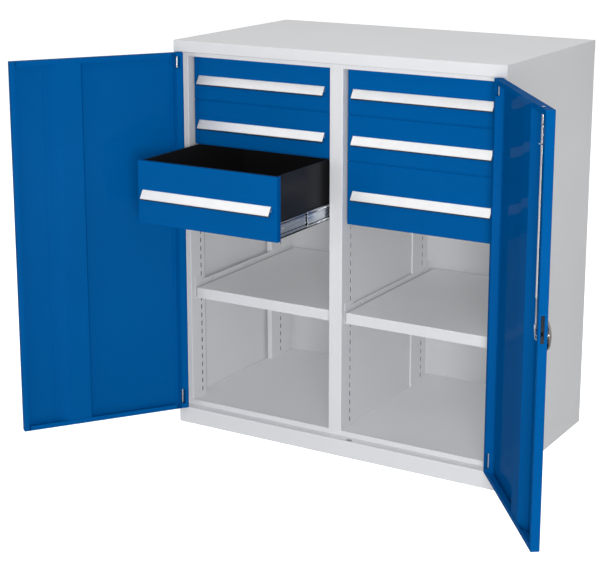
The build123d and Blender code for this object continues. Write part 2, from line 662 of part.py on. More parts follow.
def drawer(name, side, low, height, drop, out):
    """One drawer with its front, tray, handle and slide members, pulled out by a distance."""
    walls = ((side * BAY_NEAR, side), (side * SLIDE_WALL, -side))
    x0, x1 = sorted((side * FRONT_X0, side * FRONT_X1))
    top = low + height
    face = REBATE_Y + FRONT_SET - out
    back = face + FRONT_PAN
    end = SLIDE_Y1 - TRAY_SHORT - out
    t0, t1 = sorted((side * (BAY_NEAR + TRAY_CLEAR), side * (SLIDE_WALL - TRAY_CLEAR)))

    # Front: a pan with a short return along its upper edge and flanges at the sides and the foot
    with BuildPart() as front:
        block(x0, x1, face, back, low, top)
        fillet(front.faces().sort_by(Axis.Y)[0].edges(), FRONT_BEND)
        block(x0 + FRONT_SHEET, x1 - FRONT_SHEET, face + FRONT_SHEET, back - FRONT_SHEET,
              low + FRONT_SHEET, top - FRONT_SHEET, Mode.SUBTRACT)
        block(x0 + FRONT_RIM, x1 - FRONT_RIM, back - 2 * FRONT_SHEET, back + 1,
              low + FRONT_RIM, top, Mode.SUBTRACT)
        block(x0 + FRONT_SHEET, x1 - FRONT_SHEET, face + FRONT_TOP_RETURN, back + 1,
              top - 2 * FRONT_SHEET, top + 1, Mode.SUBTRACT)
    finish(front.part, "drawer_" + name + "_front")

    # Tray: open box with a hemmed upper edge and a lower back wall
    bottom = low + TRAY_RAISE
    rim = top - TRAY_DROP
    with BuildPart() as tray:
        block(t0, t1, back, end, bottom, rim)
        block(t0 + TRAY_SHEET, t1 - TRAY_SHEET, back + TRAY_SHEET, end - TRAY_SHEET,
              bottom + TRAY_SHEET, rim + 1, Mode.SUBTRACT)
        block(t0, t0 + 2 * TRAY_SHEET, back, end, rim - TRAY_HEM, rim)
        block(t1 - 2 * TRAY_SHEET, t1, back, end, rim - TRAY_HEM, rim)
        block(t0 + 2 * TRAY_SHEET, t1 - 2 * TRAY_SHEET, end - 2 * TRAY_SHEET, end + 1,
              rim - BACK_WALL_DROP, rim + 1, Mode.SUBTRACT)
        for x in (t0, t1):
            for place in (RIVET_FIRST, RIVET_SECOND):
                with Locations(Location((x, back + place, low + RIVET_RISE), (0, 90, 0))):
                    Cylinder(RIVET / 2, RIVET_HEAD * 2)
    finish(tray.part, "drawer_" + name + "_tray")

    # Handle: a strip that slopes forward over the finger room
    with BuildPart() as handle:
        with BuildSketch(Plane.YZ.offset((x0 + x1 - HANDLE_LENGTH) / 2)):
            crest = top - drop
            foot = crest - HANDLE_HEIGHT
            tip = face - HANDLE_REACH
            with BuildLine():
                outline([
                    (face, crest, 0),
                    (face - HANDLE_SHEET, crest, HANDLE_ROUND),
                    (tip, foot + HANDLE_SHEET, HANDLE_ROUND),
                    (tip, foot, HANDLE_ROUND / 2),
                    (tip + HANDLE_LIP, foot, HANDLE_ROUND / 2),
                    (tip + HANDLE_LIP, foot + HANDLE_SHEET, HANDLE_ROUND / 2),
                    (face - HANDLE_SHEET, crest - HANDLE_THROAT, 0),
                    (face - HANDLE_SHEET, crest - HANDLE_FLANGE, HANDLE_ROUND / 2),
                    (face, crest - HANDLE_FLANGE, 0),
                ])
            make_face()
        extrude(amount=HANDLE_LENGTH)
    finish(handle.part, "drawer_" + name + "_handle")

    # Drawer members of the two slides, screwed to the tray
    with BuildPart() as inner:
        for wall, turn in walls:
            with BuildSketch(Plane.XZ.offset(out - SLIDE_Y1)):
                with BuildLine():
                    outline(channel(wall, turn, low + SLIDE_RISE, TRAY_CLEAR, INNER_REACH, INNER_HALF))
                make_face()
            extrude(amount=SLIDE_LENGTH)
            for place in (SCREW_PLACE, SLIDE_LENGTH / 2, SLIDE_LENGTH - SCREW_PLACE):
                web = wall + turn * (TRAY_CLEAR - SLIDE_SHEET)
                spot = (web - turn * SCREW_RAISE / 2, SLIDE_Y0 - out + place, low + SLIDE_RISE)
                with Locations(Location(spot, (0, 90, 0))):
                    Cylinder(SCREW_HEAD / 2, SCREW_RAISE)
    finish(inner.part, "drawer_" + name + "_slides")

    # Middle members of the two slides, which run half as far as the drawer
    with BuildPart() as middle:
        for wall, turn in walls:
            with BuildSketch(Plane.XZ.offset(out / 2 - SLIDE_Y1)):
                with BuildLine():
                    outline(channel(wall, turn, low + SLIDE_RISE, SLIDE_SHEET + MIDDLE_WEB,
                                    MIDDLE_REACH, MIDDLE_HALF))
                make_face()
            extrude(amount=SLIDE_LENGTH)
    finish(middle.part, "slide_middle_" + name)


for side, letter in ((-1, "left"), (1, "right")):
    for number, (low, height, drop) in enumerate(DRAWERS, 1):
        out = OPEN_TRAVEL if side < 0 and number == len(DRAWERS) else 0.0
        drawer(letter + "_" + str(number), side, low, height, drop, out)


def swing(piece, side):
    """A door piece turned about its hinge axis, from shut to where it stands."""
    axis = Axis((side * PIVOT_X, PIVOT_Y, 0), (0, 0, 1))
    return piece.rotate(axis, RIGHT_OPEN if side > 0 else -LEFT_OPEN)


def door(side, name):
    """One door, folded from a sheet, with its stiffener and its two hinge pins."""
    inside = FRONT + DOOR_THICK
    skin = FRONT + DOOR_SHEET
    foot = skin + DOOR_SHEET
    under = inside - DOOR_SHEET
    ends = ((DOOR_LOW, 1), (DOOR_HIGH, -1))

    with BuildPart() as panel:
        with BuildSketch(Plane.XY.offset(DOOR_LOW)):
            with BuildLine():
                outline(folded([
                    (DOOR_FREE + DOOR_LIP, inside),
                    (DOOR_FREE, inside),
                    (DOOR_FREE, FRONT),
                    (DOOR_EDGE, FRONT),
                    (DOOR_EDGE, inside),
                    (DOOR_EDGE - BOX_LIP / 2, inside),
                ], DOOR_SHEET, [BEND, BEND, DOOR_BEND, DOOR_BEND]))
            make_face()
            with BuildLine():
                outline(folded([
                    (DOOR_EDGE - BOX_LIP / 2, inside),
                    (DOOR_EDGE - BOX_LIP, inside),
                    (DOOR_EDGE - BOX_FOOT, foot),
                    (DOOR_EDGE - BOX_FOOT_END, foot),
                ], DOOR_SHEET, BEND))
            make_face()
        extrude(amount=DOOR_HIGH - DOOR_LOW)
        for z, up in ends:
            with BuildSketch(Plane.XY.offset(min(z, z + up * DOOR_SHEET))):
                with BuildLine():
                    outline([
                        (DOOR_FREE, inside, BEND + DOOR_SHEET),
                        (DOOR_FREE, FRONT, BEND + DOOR_SHEET),
                        (DOOR_EDGE, FRONT, DOOR_BEND + DOOR_SHEET),
                        (DOOR_EDGE, inside, DOOR_BEND + DOOR_SHEET),
                    ])
                make_face()
            extrude(amount=DOOR_SHEET)
            block(DOOR_FREE + DOOR_LIP + DOOR_NOTCH, DOOR_EDGE - BOX_FOOT_END - DOOR_NOTCH,
                  under, inside, z, z + up * (DOOR_LIP + DOOR_SHEET))
            upright_hole(PIVOT_X, PIVOT_Y, min(z - up, z + up * DOOR_SHEET), max(z - up, z + up * DOOR_SHEET),
                         PIN + 2 * PIN_SEAT)
        for z0, z1 in (
            (DOOR_HIGH - NOTCH_HIGH_END - NOTCH_HIGH, DOOR_HIGH - NOTCH_HIGH_END),
            (DOOR_LOW + NOTCH_LOW_END, DOOR_LOW + NOTCH_LOW_END + NOTCH_LOW),
        ):
            block(DOOR_EDGE - NOTCH_FAR, DOOR_EDGE - NOTCH_NEAR, inside - NOTCH_DEPTH, inside + 1,
                  z0, z1, Mode.SUBTRACT)
        block(DOOR_FREE - 1, DOOR_FREE + 2 * DOOR_SHEET,
              FRONT + LOCK_SLOT_BACK, FRONT + LOCK_SLOT_BACK + LOCK_SLOT_WIDTH,
              KNOB_HEIGHT - LOCK_SLOT_BELOW, KNOB_HEIGHT + LOCK_SLOT_ABOVE, Mode.SUBTRACT)
        if side > 0:
            across_hole(KNOB_X, FRONT - 1, skin + 1, KNOB_HEIGHT, SPINDLE + 2 * SPINDLE_FIT)
            upright_hole(ROD_X, FRONT + ROD_BACK, DOOR_HIGH - 2 * DOOR_SHEET, DOOR_HIGH + 1,
                         ROD + 2 * ROD_HOLE_FIT)
        else:
            mirror(about=Plane.YZ, mode=Mode.REPLACE)
    finish(swing(panel.part, side), "door_" + name + "_panel")

    with BuildPart() as stiffener:
        with BuildSketch(Plane.XY.offset(DOOR_LOW + DOOR_SHEET + STIFF_GAP)):
            low_face = skin + STIFF_SHEET
            high_face = under - STIFF_GAP
            with BuildLine():
                outline(folded([
                    (DOOR_FREE + STIFF_END + STIFF_FOOT, low_face),
                    (DOOR_FREE + STIFF_END, low_face),
                    (DOOR_FREE + STIFF_FALL, high_face),
                    (DOOR_FREE + STIFF_RISE, high_face),
                    (DOOR_FREE + STIFF_START, low_face),
                    (DOOR_FREE + STIFF_START - STIFF_FOOT, low_face),
                ], STIFF_SHEET, BEND))
            make_face()
        extrude(amount=DOOR_HIGH - DOOR_LOW - 2 * DOOR_SHEET - 2 * STIFF_GAP)
        if side < 0:
            mirror(about=Plane.YZ, mode=Mode.REPLACE)
    finish(swing(stiffener.part, side), "door_" + name + "_stiffener")

    # Hinge brackets: a plate under each flange with its pin, and the rod that shows in the notch
    with BuildPart() as pins:
        plate_x = DOOR_EDGE - DOOR_BEND - DOOR_SHEET
        rod_x = DOOR_EDGE - BRACKET_ROD_IN
        rod_y = FRONT + BRACKET_ROD_BACK
        for (z, up), length in zip(ends, (BRACKET_ROD_LOW, BRACKET_ROD_HIGH)):
            seat = z + up * DOOR_SHEET
            tip = z - up * (DOOR_GAP + BODY_SHEET + PIN_PROUD)
            block(side * plate_x, side * (plate_x - BRACKET_WIDTH), skin, skin + BRACKET_DEPTH,
                  seat, seat + up * BRACKET)
            with Locations((side * PIVOT_X, PIVOT_Y, (tip + seat + up * BRACKET) / 2)):
                Cylinder(PIN / 2, abs(tip - seat - up * BRACKET))
            with Locations((side * rod_x, rod_y, seat + up * length / 2)):
                Cylinder(BRACKET_ROD / 2, length)
    finish(swing(pins.part, side), "door_" + name + "_pins")


door(-1, "left")
door(1, "right")


# Lock: everything here is drawn on the shut right door and turned with it
CAM_FRONT = FRONT + CAM_BACK
CAM_REAR = CAM_FRONT + CAM_SHEET
PADDLE_FRONT = FRONT + ROD_BACK - PADDLE_SHEET / 2
LINK_FRONT = PADDLE_FRONT + PADDLE_SHEET
KNOB_BACK = FRONT - ROSE_THICK - KNOB_GAP
KNOB_FACE = KNOB_BACK - KNOB_DOME
CRANK_X = KNOB_X + CRANK * cos(radians(CRANK_TURN / 2))
CRANK_Z = KNOB_HEIGHT - CRANK * sin(radians(CRANK_TURN / 2))
INSIDE_SKIN = FRONT + DOOR_SHEET

with BuildPart() as lock_plate:
    block(KNOB_X - PLATE_WIDTH / 2, KNOB_X + PLATE_WIDTH / 2, INSIDE_SKIN, INSIDE_SKIN + PLATE_SHEET,
          KNOB_HEIGHT - PLATE_HEIGHT / 2, KNOB_HEIGHT + PLATE_HEIGHT / 2)
    across_hole(KNOB_X, INSIDE_SKIN - 1, INSIDE_SKIN + PLATE_SHEET + 1, KNOB_HEIGHT, SPINDLE + 2 * SPINDLE_FIT)
finish(swing(lock_plate.part, 1), "lock_plate")

with BuildPart() as lock_rose:
    across_hole(KNOB_X, FRONT - ROSE_THICK, FRONT, KNOB_HEIGHT, ROSE, Mode.ADD)
    across_hole(KNOB_X, FRONT - ROSE_THICK - 1, FRONT + 1, KNOB_HEIGHT, SPINDLE + 2 * SPINDLE_FIT)
finish(swing(lock_rose.part, 1), "lock_rose")

with BuildPart() as lock_knob:
    with BuildSketch(Plane.XY.offset(KNOB_HEIGHT)):
        rim_x = KNOB_X + KNOB / 2
        with BuildLine():
            ThreePointArc(
                (KNOB_X, KNOB_FACE),
                (KNOB_X + KNOB * 0.27, KNOB_FACE + (KNOB_DOME - KNOB_RIM) * 0.26),
                (rim_x - KNOB_ROUND, KNOB_BACK - KNOB_RIM),
            )
            ThreePointArc(
                (rim_x - KNOB_ROUND, KNOB_BACK - KNOB_RIM),
                (rim_x - KNOB_ROUND * 0.3, KNOB_BACK - KNOB_RIM + KNOB_ROUND * 0.3),
                (rim_x, KNOB_BACK - KNOB_RIM + KNOB_ROUND),
            )
            Line((rim_x, KNOB_BACK - KNOB_RIM + KNOB_ROUND), (rim_x, KNOB_BACK))
            Line((rim_x, KNOB_BACK), (KNOB_X + SPINDLE / 2, KNOB_BACK))
            Line((KNOB_X + SPINDLE / 2, KNOB_BACK), (KNOB_X + SPINDLE / 2, CAM_REAR))
            Line((KNOB_X + SPINDLE / 2, CAM_REAR), (KNOB_X, CAM_REAR))
            Line((KNOB_X, CAM_REAR), (KNOB_X, KNOB_FACE))
        make_face()
    revolve(axis=Axis((KNOB_X, 0, KNOB_HEIGHT), (0, 1, 0)))
    across_hole(KNOB_X, KNOB_FACE - 1, KNOB_FACE + CYLINDER_DEPTH, KNOB_HEIGHT, CYLINDER + 2 * CYLINDER_FIT)
    across_hole(KNOB_X, CAM_REAR, CAM_REAR + SPINDLE_HEAD, KNOB_HEIGHT, SPINDLE - 2, Mode.ADD)
finish(swing(lock_knob.part, 1), "lock_knob")

with BuildPart() as key_cylinder:
    across_hole(KNOB_X, KNOB_FACE - CYLINDER_PROUD, KNOB_FACE + CYLINDER_DEPTH - KNOB_GAP, KNOB_HEIGHT,
                CYLINDER, Mode.ADD)
    block(KNOB_X - KEYWAY_WIDTH / 2, KNOB_X + KEYWAY_WIDTH / 2, KNOB_FACE - 1, KNOB_FACE + KEYWAY_DEPTH,
          KNOB_HEIGHT - KEYWAY / 2, KNOB_HEIGHT + KEYWAY / 2, Mode.SUBTRACT)
finish(swing(key_cylinder.part, 1), "key_cylinder")

# Cam on the spindle: the tongue stands up, the crank points down toward the rod
with BuildPart() as lock_cam:
    with BuildSketch(Plane.XZ.offset(-CAM_REAR)):
        with Locations((KNOB_X, KNOB_HEIGHT)):
            Circle(CAM_HUB / 2)
        with Locations((KNOB_X, KNOB_HEIGHT + (TONGUE - CAM_WIDTH / 2) / 2)):
            Rectangle(CAM_WIDTH, TONGUE - CAM_WIDTH / 2)
        with Locations((KNOB_X, KNOB_HEIGHT + TONGUE - CAM_WIDTH / 2)):
            Circle(CAM_WIDTH / 2)
        with Locations((CRANK_X, CRANK_Z)):
            Circle(CRANK_EYE / 2)
        with Locations(Location(((KNOB_X + CRANK_X) / 2, (KNOB_HEIGHT + CRANK_Z) / 2, 0), (0, 0, -CRANK_TURN / 2))):
            Rectangle(CRANK, CRANK_EYE)
        with Locations((KNOB_X, KNOB_HEIGHT)):
            Circle(SPINDLE / 2, mode=Mode.SUBTRACT)
    extrude(amount=CAM_SHEET)
    across_hole(CRANK_X, CAM_REAR, LINK_FRONT + LINK_SHEET + PIN_END, CRANK_Z, CRANK_PIN, Mode.ADD)
finish(swing(lock_cam.part, 1), "lock_cam")

# Rod with a flattened lower end and the rivet that carries the link
ROD_TOP = DOOR_HIGH - ROD_SUNK
PADDLE_LOW = KNOB_HEIGHT + PADDLE_RISE
PADDLE_HIGH = PADDLE_LOW + PADDLE_LENGTH
LINK_PIVOT = KNOB_HEIGHT + LINK_RISE
with BuildPart() as lock_rod:
    with Locations((ROD_X, FRONT + ROD_BACK, (ROD_TOP + PADDLE_HIGH - PADDLE_WIDTH) / 2)):
        Cylinder(ROD / 2, ROD_TOP - PADDLE_HIGH + PADDLE_WIDTH)
    block(ROD_X - PADDLE_WIDTH / 2, ROD_X + PADDLE_WIDTH / 2, PADDLE_FRONT, LINK_FRONT,
          PADDLE_LOW, PADDLE_HIGH)
    across_hole(ROD_X, PADDLE_FRONT, LINK_FRONT + LINK_SHEET, LINK_PIVOT, LINK_RIVET, Mode.ADD)
    across_hole(ROD_X, LINK_FRONT + LINK_SHEET, LINK_FRONT + LINK_SHEET + PIN_END, LINK_PIVOT,
                LINK_RIVET + 2, Mode.ADD)
finish(swing(lock_rod.part, 1), "lock_rod")

# Link: its slot takes the crank pin and lifts the rod
YOKE_X0 = CRANK_X - CRANK_PIN / 2 - YOKE_SLACK
YOKE_X1 = KNOB_X + CRANK + CRANK_PIN / 2 + YOKE_SLACK
YOKE_HALF = CRANK_PIN / 2 + YOKE_SLACK
with BuildPart() as lock_link:
    with BuildSketch(Plane.XZ.offset(-(LINK_FRONT + LINK_SHEET))):
        edge_low = CRANK_Z - YOKE_HALF - LINK_WALL
        edge_high = CRANK_Z + YOKE_HALF + LINK_WALL
        right = ROD_X + PADDLE_WIDTH / 2
        with BuildLine():
            outline([
                (YOKE_X0 - LINK_WALL, edge_low, LINK_WALL),
                (YOKE_X1 + LINK_WALL, edge_low, LINK_WALL),
                (right, LINK_PIVOT - PADDLE_WIDTH / 2, LINK_WALL),
                (right, LINK_PIVOT + PADDLE_WIDTH / 2, LINK_WALL),
                (right - PADDLE_WIDTH, LINK_PIVOT + PADDLE_WIDTH / 2, LINK_WALL),
                (right - PADDLE_WIDTH, edge_high, 1),
                (YOKE_X0 - LINK_WALL, edge_high, LINK_WALL),
            ])
        make_face()
        with Locations(((YOKE_X0 + YOKE_X1) / 2, CRANK_Z)):
            Rectangle(YOKE_X1 - YOKE_X0, 2 * YOKE_HALF, mode=Mode.SUBTRACT)
        with Locations((ROD_X, LINK_PIVOT)):
            Circle(LINK_RIVET / 2, mode=Mode.SUBTRACT)
    extrude(amount=LINK_SHEET)
finish(swing(lock_link.part, 1), "lock_link")

# Guide that holds the rod near its upper end
with BuildPart() as rod_guide:
    seat = INSIDE_SKIN + GUIDE_SHEET
    guide_high = DOOR_HIGH - GUIDE_FROM_TOP
    guide_low = guide_high - GUIDE_LENGTH
    block(ROD_X - GUIDE_WIDTH / 2, ROD_X + GUIDE_WIDTH / 2, INSIDE_SKIN, seat, guide_low, guide_high)
    for z in (guide_low + GUIDE_EAR, guide_high - GUIDE_EAR):
        block(ROD_X - GUIDE_WIDTH / 2, ROD_X + GUIDE_WIDTH / 2, seat,
              FRONT + ROD_BACK + ROD / 2 + GUIDE_SHEET, z - GUIDE_SHEET / 2, z + GUIDE_SHEET / 2)
        upright_hole(ROD_X, FRONT + ROD_BACK, z - GUIDE_SHEET, z + GUIDE_SHEET, ROD + 2 * ROD_FIT)
    for z in (guide_low + GUIDE_SCREW, guide_high - GUIDE_SCREW):
        across_hole(ROD_X, seat, seat + SCREW_RAISE, z, GUIDE_SCREW_HEAD, Mode.ADD)
finish(swing(rod_guide.part, 1), "rod_guide")
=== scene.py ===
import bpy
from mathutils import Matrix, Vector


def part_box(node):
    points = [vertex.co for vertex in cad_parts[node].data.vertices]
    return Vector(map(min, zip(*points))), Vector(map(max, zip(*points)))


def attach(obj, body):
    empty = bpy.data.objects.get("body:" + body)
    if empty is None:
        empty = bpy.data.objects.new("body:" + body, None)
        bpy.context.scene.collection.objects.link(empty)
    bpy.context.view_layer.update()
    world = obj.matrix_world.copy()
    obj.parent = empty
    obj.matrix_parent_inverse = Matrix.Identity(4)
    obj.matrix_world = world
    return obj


bl_info = {
    "name": "Storage Cabinet Finishes",
    "version": (1, 0, 0),
    "blender": (4, 5, 0),
    "location": "View3D > Sidebar > Cabinet",
    "description": "Finishes and small fittings of a two-door storage cabinet, and its studio",
    "category": "Object",
}

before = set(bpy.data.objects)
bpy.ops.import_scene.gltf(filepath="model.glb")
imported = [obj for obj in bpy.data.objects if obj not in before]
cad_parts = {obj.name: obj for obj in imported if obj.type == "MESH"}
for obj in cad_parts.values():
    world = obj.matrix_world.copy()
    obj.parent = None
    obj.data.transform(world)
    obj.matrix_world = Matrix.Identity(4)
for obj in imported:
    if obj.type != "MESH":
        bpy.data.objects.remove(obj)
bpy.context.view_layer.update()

import math

import bmesh
import bpy
from bpy.props import FloatProperty, FloatVectorProperty, PointerProperty
from bpy.types import Operator, Panel, PropertyGroup
from mathutils import Matrix, Vector

MM = 0.001
X, Y, Z = range(3)


def linear(code):
    """Linear colour of an sRGB hex value."""
    parts = [int(code[i:i + 2], 16) / 255 for i in (1, 3, 5)]
    return tuple(p / 12.92 if p <= 0.04045 else ((p + 0.055) / 1.055) ** 2.4 for p in parts)


# Sizes and colours


DRAWERS = [side + "_" + str(number) for side in ("left", "right") for number in (1, 2, 3)]
LOWEST = "3"                 # drawer of each bay that has no other front below it

# Materials that more than one operator uses
ZINC = "bright zinc plating on rolled steel"
FRONT_COAT = "gentian blue powder coat on drawer fronts"

# Slide members: the rows of beads and races are shares of half the height of a member
WEB_INSET = 2.8 * MM         # web of a drawer member behind the tips of its flanges
BEAD_ROW = 0.42
BEAD_HALF = 1.9 * MM         # half the width of a bead
BEAD_END = 4 * MM            # plain length at each end of the member
RACE_NEAR = 0.62             # edge of a race that is nearer to the axis of the slide
RACE_FAR = 0.76
RACE_THICK = 0.15 * MM
RACE_END = 2 * MM            # plain length at each end, as for the beads
CAGE_START = 45 * MM         # cage behind the front end of its member
CAGE_ROW = 17 * MM           # rows of balls above and below the axis of the slide
CAGE_HALF = 2.9 * MM         # half the width of a cage strip
CAGE_SHEET = 0.5 * MM        # thickness of a cage strip

# Handle section, as the CAD handles have it, and the strip of painted shade under its front edge
HANDLE_SHEET = 2 * MM        # thickness of the foot and of the flange on the drawer front
HANDLE_LIP = 3.5 * MM        # depth of the foot
HANDLE_THROAT = 5 * MM       # underside below the crest, at the drawer front
STRIP_BACK = 1.8 * MM        # middle of the strip behind the front edge
STRIP_HALF = 1.4 * MM        # half the width of the strip
STRIP_END = 0.2 * MM         # strip short of each end of the handle

# Fold under a drawer front
FOLD_BACK = 1.8 * MM         # behind the face of the front
FOLD_SHEET = 1.4 * MM
FOLD_LAP = 0.4 * MM          # part that stands inside the front
FOLD_END = 1.5 * MM          # fold short of each side of the front

# Sheets of painted shade behind the slots of the uprights
FRONT_SLOTS = 51 * MM        # slot column behind the front of the uprights
REAR_SLOTS = 80 * MM         # slot column before the back of the cabinet
SHADE_SHEET_SIDE = 8 * MM          # sheet of painted shade behind the face of a side upright
SHADE_SHEET_POST = 7.6 * MM        # and behind the face of a partition post
SHADE_SHEET_HALF = 26 * MM         # half the width of a sheet without its edges
SHADE_SHEET_EDGE = 2 * MM          # edges turned towards the slots
SHADE_SHEET_THICK = 0.6 * MM
SHADE_SHEET_FOOT = 3 * MM          # above the foot of the uprights
SHADE_SHEET_TOP = 25 * MM          # below their top

LINE_LENGTH = 500 * MM       # length of one draw line
CLOUD = 35 * MM              # distance over which the tone of a metal drifts
SPECK = 400 * MM             # distance over which the tone of the floor drifts
FLOOR_DROP = 0.2 * MM        # floor below the feet of the cabinet, so that no faces coincide
LIT_SPOT = (0.0, -0.2, 0.5)  # where the lights look
SENSOR = 36.0                # width in millimetres, as Blender's cameras count


class PaintSettings(PropertyGroup):
    """Powder coats of the sheet metal."""

    body_colour: FloatVectorProperty(
        name="Body", description="Light grey of the cabinet body",
        default=linear("#CFD0D2"), subtype="COLOR", min=0, max=1)
    front_colour: FloatVectorProperty(
        name="Doors and fronts", description="Gentian blue of the doors and the drawer fronts",
        default=linear("#00508F"), subtype="COLOR", min=0, max=1)
    tray_colour: FloatVectorProperty(
        name="Trays", description="Black of the drawer trays",
        default=linear("#1B1B1D"), subtype="COLOR", min=0, max=1)
    # Black that paints the shade line under and beside the handles.
    strip_colour: FloatVectorProperty(
        name="Handle shade", description="Black of the painted shade under and beside the handles",
        default=linear("#141415"), subtype="COLOR", min=0, max=1)
    # Dark colour that paints the shade in the hollow of the uprights, seen through the slots.
    liner_colour: FloatVectorProperty(
        name="Shade in the slots", description="Painted shade inside the uprights",
        default=linear("#26272A"), subtype="COLOR", min=0, max=1)
    peel: FloatProperty(
        name="Orange peel", description="Width of one ripple in the cured powder",
        default=2.4 * MM, min=0.5 * MM, max=20 * MM, unit="LENGTH", precision=4)
    wave: FloatProperty(
        name="Sheet wave", description="Distance over which a flat sheet bows in and out",
        default=240 * MM, min=20 * MM, max=2.0, unit="LENGTH")


class MetalSettings(PropertyGroup):
    """Bare and plated metals."""

    handle_colour: FloatVectorProperty(
        name="Handles", description="Natural anodised aluminium of the drawer handles",
        default=linear("#FDFDFD"), subtype="COLOR", min=0, max=1)
    zinc_colour: FloatVectorProperty(
        name="Zinc", description="Zinc plating of the slides, the rod and the hinge brackets",
        default=linear("#D3D7DC"), subtype="COLOR", min=0, max=1)
    knob_colour: FloatVectorProperty(
        name="Knob", description="Dark chrome of the knob and its rose",
        default=linear("#8D8783"), subtype="COLOR", min=0, max=1)
    # Near black that paints the shade in the lock slot, on the lock case and the cam.
    oxide_colour: FloatVectorProperty(
        name="Lock slot shade", description="Near black of the lock case and the cam, painting the shade in the lock slot",
        default=linear("#1C1C1D"), subtype="COLOR", min=0, max=1)
    ball_colour: FloatVectorProperty(
        name="Balls", description="Polished steel of the balls in the drawer slides",
        default=linear("#E4E6E8"), subtype="COLOR", min=0, max=1)
    # Dark colour that paints the shade of the ball races in the slides.
    grease_colour: FloatVectorProperty(
        name="Race shade", description="Painted shade of the grooves that the balls run in",
        default=linear("#2E2F31"), subtype="COLOR", min=0, max=1)
    line_pitch: FloatProperty(
        name="Draw lines",
        description="Distance between the faint lines along a drawn or rolled strip",
        default=0.8 * MM, min=0.1 * MM, max=10 * MM, unit="LENGTH", precision=4)


class DetailSettings(PropertyGroup):
    """Small fittings that are finer than the sheet metal."""

    ball: FloatProperty(
        name="Ball", description="Diameter of the balls in the drawer slides",
        default=4.2 * MM, min=1 * MM, max=5 * MM, unit="LENGTH", precision=4)
    ball_pitch: FloatProperty(
        name="Ball pitch", description="Distance between the balls in their cage",
        default=7.0 * MM, min=5 * MM, max=40 * MM, unit="LENGTH", precision=4)
    cage_length: FloatProperty(
        name="Ball cage", description="Length of the cage that holds the balls",
        default=120 * MM, min=20 * MM, max=400 * MM, unit="LENGTH")
    bead: FloatProperty(
        name="Rolled bead", description="Height of the stiffening beads rolled into the slide members",
        default=1.1 * MM, min=0.2 * MM, max=1.3 * MM, unit="LENGTH", precision=4)
    # The strip and the caps below are painted shade at the handle edges.
    edge_strip: FloatProperty(
        name="Shade strip", description="Height of the strip of painted shade under the handles",
        default=3.4 * MM, min=0.5 * MM, max=6 * MM, unit="LENGTH", precision=4)
    end_cap: FloatProperty(
        name="Shade cap", description="Thickness of the dark cap of painted shade on each end of the handles",
        default=0.8 * MM, min=0.2 * MM, max=3 * MM, unit="LENGTH", precision=4)
    seam: FloatProperty(
        name="Seam", description="Height of the fold that closes the gap under a drawer front",
        default=2.3 * MM, min=0.5 * MM, max=2.6 * MM, unit="LENGTH", precision=4)


class StageSettings(PropertyGroup):
    """Floor, lights and camera."""

    floor_colour: FloatVectorProperty(
        name="Floor", description="Plain pale floor",
        default=linear("#D8D8D8"), subtype="COLOR", min=0, max=1)
    floor_size: FloatProperty(
        name="Floor size", description="Length of one side of the floor",
        default=60.0, min=2.0, unit="LENGTH")
    key_power: FloatProperty(
        name="Key light", description="Power of the soft light above the camera",
        default=14.0, min=0.0, unit="POWER")
    low_power: FloatProperty(
        name="Low light",
        description="Power of the soft light beside the camera, which reaches under the drawers",
        default=94.0, min=0.0, unit="POWER")
    fill_power: FloatProperty(
        name="Fill light", description="Power of the wide low light in front, on the left",
        default=36.0, min=0.0, unit="POWER")
    lift_power: FloatProperty(
        name="Lift", description="Power of the shadow-free light that reaches into the bays",
        default=152.0, min=0.0, unit="POWER")
    back_power: FloatProperty(
        name="Back light", description="Power of the soft light behind, on the right",
        default=42.0, min=0.0, unit="POWER")
    left_power: FloatProperty(
        name="Left light", description="Power of the soft light on the left",
        default=60.0, min=0.0, unit="POWER")
    sky_strength: FloatProperty(
        name="Surround", description="Light that the white surround throws on matt faces",
        default=0.32, min=0.0)
    sky_mirrored: FloatProperty(
        name="Mirrored surround",
        description="Brightness of the surround where a glossy face mirrors it",
        default=1.0, min=0.0)
    floor_lift: FloatProperty(
        name="Floor lift", description="Light under the floor sheet, which thins the shadows on it",
        default=0.8, min=0.0)
    camera_place: FloatVectorProperty(
        name="Camera", description="Where the camera stands",
        default=(2.0387, -3.852, 1.646), subtype="TRANSLATION", unit="LENGTH")
    camera_turn: FloatProperty(
        name="Azimuth", description="How far the camera stands round to the right",
        default=math.radians(30.96), unit="ROTATION")
    camera_dip: FloatProperty(
        name="Dip", description="How far the camera looks down",
        default=math.radians(13.15), unit="ROTATION")
    lens: FloatProperty(
        name="Lens", description="Focal length on a 36 mm wide sensor",
        default=94.7, min=10.0, unit="CAMERA")
    camera_shift: FloatProperty(
        name="Lens shift",
        description="Share of the frame by which the view moves up, or down where it is negative",
        default=-0.13, min=-1.0, max=1.0)


# Materials


def add(tree, kind, feeds=None, **settings):
    """Adds a node, sets its properties and fills its inputs with values or sockets."""
    made = tree.nodes.new(kind)
    for key, value in settings.items():
        setattr(made, key, value)
    for key, value in (feeds or {}).items():
        if isinstance(value, bpy.types.NodeSocket):
            tree.links.new(value, made.inputs[key])
        else:
            made.inputs[key].default_value = value
    return made


def new_material(name):
    """Empty material, with its node tree, its surface shader and its object coordinates."""
    material = bpy.data.materials.new(name)
    material.use_nodes = True
    tree = material.node_tree
    tree.nodes.clear()
    shader = add(tree, "ShaderNodeBsdfPrincipled")
    add(tree, "ShaderNodeOutputMaterial", {"Surface": shader.outputs["BSDF"]})
    place = add(tree, "ShaderNodeTexCoord").outputs["Object"]
    return material, tree, shader, place


